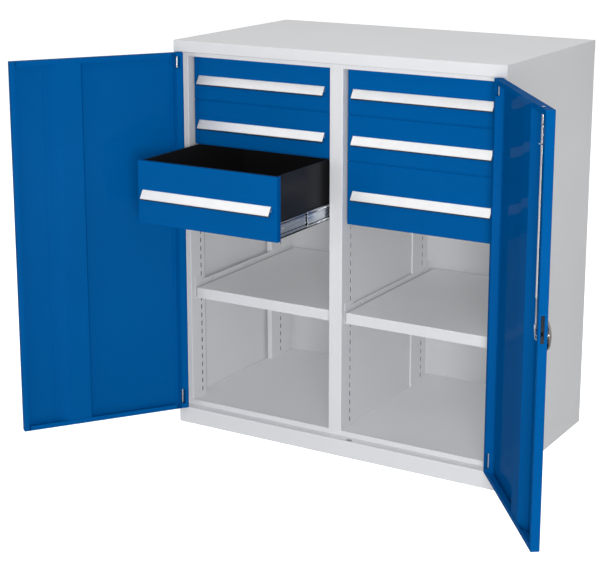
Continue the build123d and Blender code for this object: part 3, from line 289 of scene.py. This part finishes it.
def powder_coat(name, colour, roughness, shine, gloss, gloss_roughness, drift):
    """Polyester powder sprayed on steel sheet and baked: an even satin film over faint orange peel."""
    paint = bpy.context.scene.cabinet_paint
    material, tree, shader, place = new_material(name)
    # Real ripples are 1 to 2 mm wide, under a pixel, so they are drawn at the width set in the panel.
    peel = add(tree, "ShaderNodeTexNoise", {
        "Vector": place, "Scale": 1 / paint.peel, "Detail": 2.0, "Roughness": 0.4})
    wave = add(tree, "ShaderNodeTexNoise", {
        "Vector": place, "Scale": 1 / paint.wave, "Detail": 1.0, "Roughness": 0.3})
    bowed = add(tree, "ShaderNodeBump", {
        "Strength": 0.5, "Distance": 0.9 * MM, "Height": wave.outputs["Fac"]})
    skin = add(tree, "ShaderNodeBump", {
        "Strength": 0.35, "Distance": 0.03 * MM, "Height": peel.outputs["Fac"],
        "Normal": bowed.outputs["Normal"]})
    # The film is thicker in places, which the eye takes as a slight drift of tone.
    tone = add(tree, "ShaderNodeMapRange", {
        "Value": wave.outputs["Fac"], "From Min": 0.3, "From Max": 0.7,
        "To Min": 1 - drift, "To Max": 1 + drift})
    shade = add(tree, "ShaderNodeHueSaturation", {
        "Color": (*colour, 1.0), "Value": tone.outputs["Result"]})
    sheen = add(tree, "ShaderNodeMapRange", {
        "Value": peel.outputs["Fac"], "From Min": 0.25, "From Max": 0.75,
        "To Min": roughness * 0.9, "To Max": roughness * 1.1})
    shader.inputs["IOR"].default_value = 1.5
    shader.inputs["Specular IOR Level"].default_value = shine
    shader.inputs["Coat Weight"].default_value = gloss
    shader.inputs["Coat Roughness"].default_value = gloss_roughness
    tree.links.new(shade.outputs["Color"], shader.inputs["Base Color"])
    tree.links.new(sheen.outputs["Result"], shader.inputs["Roughness"])
    tree.links.new(skin.outputs["Normal"], shader.inputs["Normal"])
    return material


def drawn_metal(name, colour, roughness, spread, along, depth):
    """Metal with the faint straight lines that a die or a roll leaves along the strip."""
    metal = bpy.context.scene.cabinet_metal
    material, tree, shader, place = new_material(name)
    # Real lines are 0.1 mm apart; they are drawn wider, so that they show at arm's length.
    pitch = 1 / metal.line_pitch
    stretch = [pitch, pitch, pitch]
    stretch[along] = 1 / LINE_LENGTH
    strip = add(tree, "ShaderNodeMapping", {"Vector": place, "Scale": stretch})
    lines = add(tree, "ShaderNodeTexNoise", {
        "Vector": strip.outputs["Vector"], "Scale": 1.0, "Detail": 3.0, "Roughness": 0.6})
    cloud = add(tree, "ShaderNodeTexNoise", {"Vector": place, "Scale": 1 / CLOUD, "Detail": 2.0})
    grain = add(tree, "ShaderNodeBump", {
        "Strength": 0.4, "Distance": depth, "Height": lines.outputs["Fac"]})
    tone = add(tree, "ShaderNodeMapRange", {
        "Value": cloud.outputs["Fac"], "From Min": 0.3, "From Max": 0.7,
        "To Min": 0.96, "To Max": 1.02})
    shade = add(tree, "ShaderNodeHueSaturation", {
        "Color": (*colour, 1.0), "Value": tone.outputs["Result"]})
    sheen = add(tree, "ShaderNodeMapRange", {
        "Value": lines.outputs["Fac"], "From Min": 0.3, "From Max": 0.7,
        "To Min": roughness - spread, "To Max": roughness + spread})
    shader.inputs["Metallic"].default_value = 1.0
    tree.links.new(shade.outputs["Color"], shader.inputs["Base Color"])
    tree.links.new(sheen.outputs["Result"], shader.inputs["Roughness"])
    tree.links.new(grain.outputs["Normal"], shader.inputs["Normal"])
    return material


def dress(names, material):
    """Gives CAD nodes a material."""
    for name in names:
        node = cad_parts[name]
        if not node.material_slots:
            node.data.materials.append(material)
        for held in node.material_slots:
            held.material = material


def nodes_like(*ends):
    """Names of the CAD nodes that end in one of some words."""
    found = sorted(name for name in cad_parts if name.endswith(ends))
    if not found:
        raise RuntimeError("no node of the cabinet ends in " + ", ".join(ends))
    return found


def bar(mesh, section, start, end, along):
    """Solid bar of one section along an axis; the section lists the two other coordinates."""
    rings = []
    for place in (start, end):
        ring = []
        for pair in section:
            spot = list(pair)
            spot.insert(along, place)
            ring.append(mesh.verts.new(spot))
        rings.append(ring)
    near, far = rings
    for i, corner in enumerate(near):
        j = (i + 1) % len(near)
        mesh.faces.new((corner, near[j], far[j], far[i]))
    mesh.faces.new(near)
    mesh.faces.new(far[::-1])


def half_round(base, rise, middle, half, steps=8):
    """Section of a rounded bead that stands on a plane."""
    turns = [math.pi * i / steps for i in range(steps + 1)]
    return [(base + rise * math.sin(t), middle + half * math.cos(t)) for t in turns]


def slab(u0, u1, v0, v1):
    """Rectangular section."""
    return [(u0, v0), (u1, v0), (u1, v1), (u0, v1)]


def piece(name, mesh, material, body):
    """Turns a mesh in the making into an object that rides on a body of the cabinet."""
    bmesh.ops.recalc_face_normals(mesh, faces=mesh.faces)
    data = bpy.data.meshes.new(name)
    mesh.to_mesh(data)
    mesh.free()
    data.materials.append(material)
    made = bpy.data.objects.new(name, data)
    bpy.context.scene.collection.objects.link(made)
    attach(made, body)
    return made


# Pieces


class CABINET_OT_body(Operator):
    """Powder coat of the cabinet body, its uprights, partition, floor and back"""

    bl_idname = "cabinet.body"
    bl_label = "Body"

    def execute(self, context):
        # A satin film, pale enough that every fold of the sheet shows by its shade.
        coat = powder_coat(
            "light grey powder coat on steel", context.scene.cabinet_paint.body_colour,
            roughness=0.42, shine=0.4, gloss=0.2, gloss_roughness=0.14, drift=0.012)
        dress([
            "top_panel", "side_panel_left", "side_panel_right", "back_panel", "plinth", "base_frame",
            "floor_panel", "uprights_left", "uprights_right", "partition_posts", "partition_skin",
            "shelf_left", "shelf_right", "shelf_rails",
        ], coat)
        return {"FINISHED"}


class CABINET_OT_doors(Operator):
    """Powder coat of the doors and their stiffeners"""

    bl_idname = "cabinet.doors"
    bl_label = "Doors"

    def execute(self, context):
        # A deep even blue, with a thin clear gloss on the leaves.
        coat = powder_coat(
            "gentian blue powder coat on door sheet", context.scene.cabinet_paint.front_colour,
            roughness=0.34, shine=0.0, gloss=0.05, gloss_roughness=0.04, drift=0.02)
        dress(nodes_like("door_left_panel", "door_right_panel", "_stiffener"), coat)
        return {"FINISHED"}


class CABINET_OT_drawer_fronts(Operator):
    """Powder coat of the drawer fronts"""

    bl_idname = "cabinet.drawer_fronts"
    bl_label = "Drawer fronts"

    def execute(self, context):
        # The same blue, a little duller than on the doors.
        coat = powder_coat(
            FRONT_COAT, context.scene.cabinet_paint.front_colour,
            roughness=0.36, shine=0.0, gloss=0.03, gloss_roughness=0.1, drift=0.02)
        dress(nodes_like("_front"), coat)
        return {"FINISHED"}


class CABINET_OT_drawer_trays(Operator):
    """Powder coat of the drawer trays"""

    bl_idname = "cabinet.drawer_trays"
    bl_label = "Drawer trays"

    def execute(self, context):
        # Near black, with only a weak sheen at the hemmed edges.
        coat = powder_coat(
            "black powder coat on drawer trays", context.scene.cabinet_paint.tray_colour,
            roughness=0.4, shine=0.14, gloss=0.02, gloss_roughness=0.2, drift=0.02)
        dress(nodes_like("_tray"), coat)
        return {"FINISHED"}


class CABINET_OT_handles(Operator):
    """Anodised aluminium of the drawer handles"""

    bl_idname = "cabinet.handles"
    bl_label = "Handles"

    def execute(self, context):
        # Etched before it is anodised, so it looks silky and almost white.
        metal = drawn_metal(
            "natural anodised aluminium extrusion", context.scene.cabinet_metal.handle_colour,
            roughness=0.48, spread=0.05, along=X, depth=0.02 * MM)
        dress(nodes_like("_handle"), metal)
        return {"FINISHED"}


class CABINET_OT_slides(Operator):
    """Zinc plating of the drawer slides and the hinge brackets"""

    bl_idname = "cabinet.slides"
    bl_label = "Slides and hinges"

    def execute(self, context):
        # Cool silver, with soft streaks along the rolled strip.
        metal = drawn_metal(
            ZINC, context.scene.cabinet_metal.zinc_colour,
            roughness=0.26, spread=0.06, along=Y, depth=0.03 * MM)
        dress(nodes_like("_slides", "slide_cabinet_members", "_pins"), metal)
        dress([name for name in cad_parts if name.startswith("slide_middle")], metal)
        return {"FINISHED"}


def roll_beads(node, body, inset, bare, rise, zinc, race_shade_paint):
    """Two beads and two ball races on the wall side of the slide members, except on a bare side; the
    races are dark strips of painted shade.
    """
    low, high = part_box(node)
    axis = (low[Z] + high[Z]) / 2
    half = (high[Z] - low[Z]) / 2
    beads, races = bmesh.new(), bmesh.new()
    for face, out in ((low[X] + inset, -1), (high[X] - inset, 1)):
        if out == bare:
            continue
        for up in (-1, 1):
            bead = half_round(face, out * rise, axis + up * BEAD_ROW * half, BEAD_HALF)
            bar(beads, bead, low[Y] + BEAD_END, high[Y] - BEAD_END, Y)
            race = slab(
                face, face + out * RACE_THICK,
                axis + up * RACE_NEAR * half, axis + up * RACE_FAR * half)
            bar(races, race, low[Y] + RACE_END, high[Y] - RACE_END, Y)
    piece("beads_of_" + node, beads, zinc, body)
    piece("races_of_" + node, races, race_shade_paint, body)


def fill_cage(node, partition, detail, zinc, steel):
    """Cage strips with their balls, outside the middle member that runs beside the partition."""
    low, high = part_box(node)
    axis = (low[Z] + high[Z]) / 2
    middle = (high[X] if partition > 0 else low[X]) + partition * detail.ball / 2
    start = low[Y] + CAGE_START
    balls, cage = bmesh.new(), bmesh.new()
    for up in (-1, 1):
        row = axis + up * CAGE_ROW
        strip = slab(
            middle - CAGE_SHEET / 2, middle + CAGE_SHEET / 2, row - CAGE_HALF, row + CAGE_HALF)
        bar(cage, strip, start, start + detail.cage_length, Y)
        for i in range(int(detail.cage_length / detail.ball_pitch)):
            spot = (middle, start + (i + 0.5) * detail.ball_pitch, row)
            bmesh.ops.create_icosphere(
                balls, subdivisions=2, radius=detail.ball / 2, matrix=Matrix.Translation(spot))
    piece("cage_of_" + node, cage, zinc, node)
    made = piece("balls_of_" + node, balls, steel, node)
    made.data.polygons.foreach_set("use_smooth", [True] * len(made.data.polygons))


class CABINET_OT_slide_balls(Operator):
    """Rolled beads, ball races of painted shade and ball cages of the drawer slides"""

    bl_idname = "cabinet.slide_balls"
    bl_label = "Slide balls"

    def execute(self, context):
        detail = context.scene.cabinet_detail
        metals = context.scene.cabinet_metal
        zinc = bpy.data.materials[ZINC]
        # Hardened and lapped, so each ball is a bright point.
        steel = drawn_metal(
            "polished bearing steel of the balls", metals.ball_colour,
            roughness=0.12, spread=0.02, along=Y, depth=0.005 * MM)
        # Dark lines of painted shade in the bright members, where the races lie.
        race_shade_paint = drawn_metal(
            "greased ball race in the slide member", metals.grease_colour,
            roughness=0.2, spread=0.04, along=Y, depth=0.02 * MM)
        for name in DRAWERS:
            partition = 1 if name.startswith("left") else -1
            # A door leaf swings past the outer side of the middle members with less than 1 mm to
            # spare, so that side stays bare.
            node = "slide_middle_" + name
            roll_beads(node, node, 0.0, -partition, detail.bead, zinc, race_shade_paint)
            roll_beads(
                "drawer_" + name + "_slides", "drawer_" + name, WEB_INSET, 0, detail.bead,
                zinc, race_shade_paint)
            fill_cage(node, partition, detail, zinc, steel)
        return {"FINISHED"}


class CABINET_OT_handle_edges(Operator):
    """Dark strip of painted shade along the lower edge and the ends of each handle"""

    bl_idname = "cabinet.handle_edges"
    bl_label = "Handle edges"

    def execute(self, context):
        detail = context.scene.cabinet_detail
        # Matt black, which paints a thin line of shade below the pale handle and at its ends.
        handle_shade_paint = powder_coat(
            "black vinyl edge strip", context.scene.cabinet_paint.strip_colour,
            roughness=0.5, shine=0.3, gloss=0.02, gloss_roughness=0.3, drift=0.01)
        for name in DRAWERS:
            low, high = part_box("drawer_" + name + "_handle")
            bead = half_round(low[Z], -detail.edge_strip, low[Y] + STRIP_BACK, STRIP_HALF)
            strip = bmesh.new()
            bar(strip, [(y, z) for z, y in bead], low[X] + STRIP_END, high[X] - STRIP_END, X)
            root = high[Y] - HANDLE_SHEET
            heel = low[Y] + HANDLE_LIP
            cap = [
                (root, high[Z]), (low[Y], low[Z] + HANDLE_SHEET), (low[Y], low[Z]),
                (heel, low[Z]), (heel, low[Z] + HANDLE_SHEET), (root, high[Z] - HANDLE_THROAT),
            ]
            bar(strip, cap, low[X] - detail.end_cap, low[X], X)
            bar(strip, cap, high[X], high[X] + detail.end_cap, X)
            piece("edge_strip_" + name, strip, handle_shade_paint, "drawer_" + name)
        return {"FINISHED"}


class CABINET_OT_front_seams(Operator):
    """Fold under each upper drawer front, set back in the gap to the next one"""

    bl_idname = "cabinet.front_seams"
    bl_label = "Front seams"

    def execute(self, context):
        height = context.scene.cabinet_detail.seam
        coat = bpy.data.materials[FRONT_COAT]
        for name in DRAWERS:
            if name.endswith(LOWEST):
                continue
            low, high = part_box("drawer_" + name + "_front")
            near = low[Y] + FOLD_BACK
            section = slab(near, near + FOLD_SHEET, low[Z] - height, low[Z] + FOLD_LAP)
            fold = bmesh.new()
            bar(fold, section, low[X] + FOLD_END, high[X] - FOLD_END, X)
            piece("seam_" + name, fold, coat, "drawer_" + name)
        return {"FINISHED"}


class CABINET_OT_slot_shades(Operator):
    """Dark sheets in the hollow of the uprights that paint the shade seen through the perforation"""

    bl_idname = "cabinet.slot_shades"
    bl_label = "Slot shades"

    def execute(self, context):
        # Almost no light comes back out of the hollow, so the slots look dark; a dark sheet paints
        # that shade.
        dark = powder_coat(
            "unlit primer inside the uprights", context.scene.cabinet_paint.liner_colour,
            roughness=0.7, shine=0.1, gloss=0.0, gloss_roughness=0.3, drift=0.01)
        low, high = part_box("uprights_left")
        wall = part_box("uprights_right")[0][X]
        near, far = (corner[X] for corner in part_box("partition_posts"))
        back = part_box("side_panel_left")[1][Y]
        # Face of each sheet of painted shade, and the way from the slots to it.
        shade_sheets = (
            (high[X] - SHADE_SHEET_SIDE, -1), (wall + SHADE_SHEET_SIDE, 1),
            (near + SHADE_SHEET_POST, 1), (far - SHADE_SHEET_POST, -1),
        )
        shades = bmesh.new()
        for y in (low[Y] + FRONT_SLOTS, back - REAR_SLOTS):
            for face, away in shade_sheets:
                edge = face - away * SHADE_SHEET_EDGE
                rear = face + away * SHADE_SHEET_THICK
                wing = SHADE_SHEET_HALF + SHADE_SHEET_EDGE
                section = [
                    (face, y - SHADE_SHEET_HALF), (face, y + SHADE_SHEET_HALF), (edge, y + wing),
                    (rear, y + SHADE_SHEET_HALF), (rear, y - SHADE_SHEET_HALF), (edge, y - wing),
                ]
                bar(shades, section, low[Z] + SHADE_SHEET_FOOT, high[Z] - SHADE_SHEET_TOP, Z)
        piece("slot_shades", shades, dark, "cabinet")
        return {"FINISHED"}


class CABINET_OT_lock(Operator):
    """Metals of the knob, the key cylinder, the cam and the rod; the cam and the lock case are near
    black to paint the shade in the lock slot
    """

    bl_idname = "cabinet.lock"
    bl_label = "Lock"

    def execute(self, context):
        metals = context.scene.cabinet_metal
        # Cool silver, brighter than the slides, because the rod is drawn before it is plated.
        plated = drawn_metal(
            "zinc plating on the lock rod", metals.zinc_colour,
            roughness=0.22, spread=0.04, along=Z, depth=0.02 * MM)
        # A clear dark mirror, with a warm grey in it.
        chrome = drawn_metal(
            "dark chrome plating on the knob", metals.knob_colour,
            roughness=0.16, spread=0.03, along=Z, depth=0.01 * MM)
        # Black with a dull gleam, which paints the shade in the lock slot and against which the rod
        # stands out.
        black = drawn_metal(
            "black oxide on the lock case", metals.oxide_colour,
            roughness=0.34, spread=0.05, along=Z, depth=0.01 * MM)
        dress(["lock_rod", "lock_link", "rod_guide"], plated)
        dress(["lock_cam", "lock_plate"], black)
        dress(["lock_knob", "lock_rose", "key_cylinder"], chrome)
        return {"FINISHED"}


# Stage


def lay_floor(stage):
    """Plain pale sheet under the cabinet."""
    half = stage.floor_size / 2
    corners = [(-half, -half, 0), (half, -half, 0), (half, half, 0), (-half, half, 0)]
    sheet = bpy.data.meshes.new("floor")
    sheet.from_pydata(corners, [], [(0, 1, 2, 3)])
    floor = bpy.data.objects.new("floor", sheet)
    floor.location.z = -FLOOR_DROP
    bpy.context.scene.collection.objects.link(floor)
    # Matt white paint, of one even tone.
    material, tree, shader, place = new_material("white painted studio floor")
    speck = add(tree, "ShaderNodeTexNoise", {"Vector": place, "Scale": 1 / SPECK, "Detail": 2.0})
    tone = add(tree, "ShaderNodeMapRange", {
        "Value": speck.outputs["Fac"], "To Min": 0.985, "To Max": 1.015})
    shade = add(tree, "ShaderNodeHueSaturation", {
        "Color": (*stage.floor_colour, 1.0), "Value": tone.outputs["Result"]})
    tree.links.new(shade.outputs["Color"], shader.inputs["Base Color"])
    shader.inputs["Roughness"].default_value = 0.8
    # The floor is lit from below for the eye alone, as on a light table.
    seen = add(tree, "ShaderNodeLightPath").outputs["Is Camera Ray"]
    glow = add(tree, "ShaderNodeMath", {0: seen, 1: stage.floor_lift}, operation="MULTIPLY")
    shader.inputs["Emission Color"].default_value = (1.0, 1.0, 1.0, 1.0)
    tree.links.new(glow.outputs["Value"], shader.inputs["Emission Strength"])
    sheet.materials.append(material)


def hang_surround(stage):
    """White surround, dimmer on matt faces than where a glossy face mirrors it."""
    world = bpy.data.worlds.new("white surround")
    world.use_nodes = True
    tree = world.node_tree
    tree.nodes.clear()
    matt = add(tree, "ShaderNodeLightPath").outputs["Is Diffuse Ray"]
    level = add(tree, "ShaderNodeMapRange", {
        "Value": matt, "To Min": stage.sky_mirrored, "To Max": stage.sky_strength})
    glow = add(tree, "ShaderNodeBackground", {
        "Color": (1.0, 1.0, 1.0, 1.0), "Strength": level.outputs["Result"]})
    add(tree, "ShaderNodeOutputWorld", {"Surface": glow.outputs["Background"]})
    bpy.context.scene.world = world


def soft_light(name, place, width, height, power, mirrored=False, shadow=True):
    """Large rectangular light that looks at the cabinet; most stay out of mirror images."""
    lamp = bpy.data.lights.new(name, "AREA")
    lamp.shape = "RECTANGLE"
    lamp.size = width
    lamp.size_y = height
    lamp.energy = power
    lamp.use_shadow = shadow
    holder = bpy.data.objects.new(name, lamp)
    holder.location = place
    ahead = Vector(LIT_SPOT) - Vector(place)
    holder.rotation_euler = ahead.to_track_quat("-Z", "Y").to_euler()
    holder.visible_glossy = mirrored
    bpy.context.scene.collection.objects.link(holder)


def set_lights(stage):
    """Soft lights in front, above, behind and on the left."""
    soft_light("key light", (2.6, -4.0, 3.4), width=1.4, height=2.2, power=stage.key_power)
    soft_light(
        "low light", (2.7, -4.1, 1.0), width=1.2, height=1.2, power=stage.low_power,
        mirrored=True)
    soft_light("fill light", (-2.6, -4.2, 1.1), width=2.4, height=1.4, power=stage.fill_power)
    soft_light(
        "lift", (2.2, -3.4, 5.1), width=2.0, height=2.0, power=stage.lift_power, shadow=False)
    soft_light("back light", (1.8, 4.8, 1.6), width=2.4, height=2.4, power=stage.back_power)
    soft_light("left light", (-4.8, 0.5, 1.6), width=2.4, height=2.4, power=stage.left_power)


def aim_camera(stage):
    """Camera that stands and looks as the settings say."""
    lens = bpy.data.cameras.new("camera")
    lens.sensor_width = SENSOR
    lens.lens = stage.lens
    lens.shift_y = stage.camera_shift
    camera = bpy.data.objects.new("camera", lens)
    turn, dip = stage.camera_turn, stage.camera_dip
    level = math.cos(dip)
    ahead = Vector((-math.sin(turn) * level, math.cos(turn) * level, -math.sin(dip)))
    camera.location = stage.camera_place
    camera.rotation_euler = ahead.to_track_quat("-Z", "Y").to_euler()
    bpy.context.scene.collection.objects.link(camera)
    bpy.context.scene.camera = camera


class CABINET_OT_stage(Operator):
    """Pale floor, soft studio light and the camera"""

    bl_idname = "cabinet.stage"
    bl_label = "Stage"

    def execute(self, context):
        stage = context.scene.cabinet_stage
        lay_floor(stage)
        hang_surround(stage)
        set_lights(stage)
        aim_camera(stage)
        context.scene.view_settings.view_transform = "Standard"
        return {"FINISHED"}


# Panel and registration


PIECES = (
    CABINET_OT_body,
    CABINET_OT_doors,
    CABINET_OT_drawer_fronts,
    CABINET_OT_drawer_trays,
    CABINET_OT_handles,
    CABINET_OT_slides,
    CABINET_OT_slide_balls,
    CABINET_OT_handle_edges,
    CABINET_OT_front_seams,
    CABINET_OT_slot_shades,
    CABINET_OT_lock,
    CABINET_OT_stage,
)


class CABINET_PT_panel(Panel):
    """Pieces of the cabinet and their settings"""

    bl_idname = "CABINET_PT_panel"
    bl_label = "Storage Cabinet"
    bl_space_type = "VIEW_3D"
    bl_region_type = "UI"
    bl_category = "Cabinet"

    def draw(self, context):
        column = self.layout.column(align=True)
        for operator in PIECES:
            column.operator(operator.bl_idname)
        scene = context.scene
        for settings in (
            scene.cabinet_paint, scene.cabinet_metal, scene.cabinet_detail, scene.cabinet_stage,
        ):
            box = self.layout.box()
            for key in settings.__annotations__:
                box.prop(settings, key)


CLASSES = (PaintSettings, MetalSettings, DetailSettings, StageSettings, *PIECES, CABINET_PT_panel)


def register():
    for kind in CLASSES:
        bpy.utils.register_class(kind)
    bpy.types.Scene.cabinet_paint = PointerProperty(type=PaintSettings)
    bpy.types.Scene.cabinet_metal = PointerProperty(type=MetalSettings)
    bpy.types.Scene.cabinet_detail = PointerProperty(type=DetailSettings)
    bpy.types.Scene.cabinet_stage = PointerProperty(type=StageSettings)


def unregister():
    del bpy.types.Scene.cabinet_stage
    del bpy.types.Scene.cabinet_detail
    del bpy.types.Scene.cabinet_metal
    del bpy.types.Scene.cabinet_paint
    for kind in reversed(CLASSES):
        bpy.utils.unregister_class(kind)


def main():
    """Registers the add-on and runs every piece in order."""
    register()
    for operator in PIECES:
        group, action = operator.bl_idname.split(".")
        getattr(getattr(bpy.ops, group), action)()


if __name__ == "__main__":
    main()
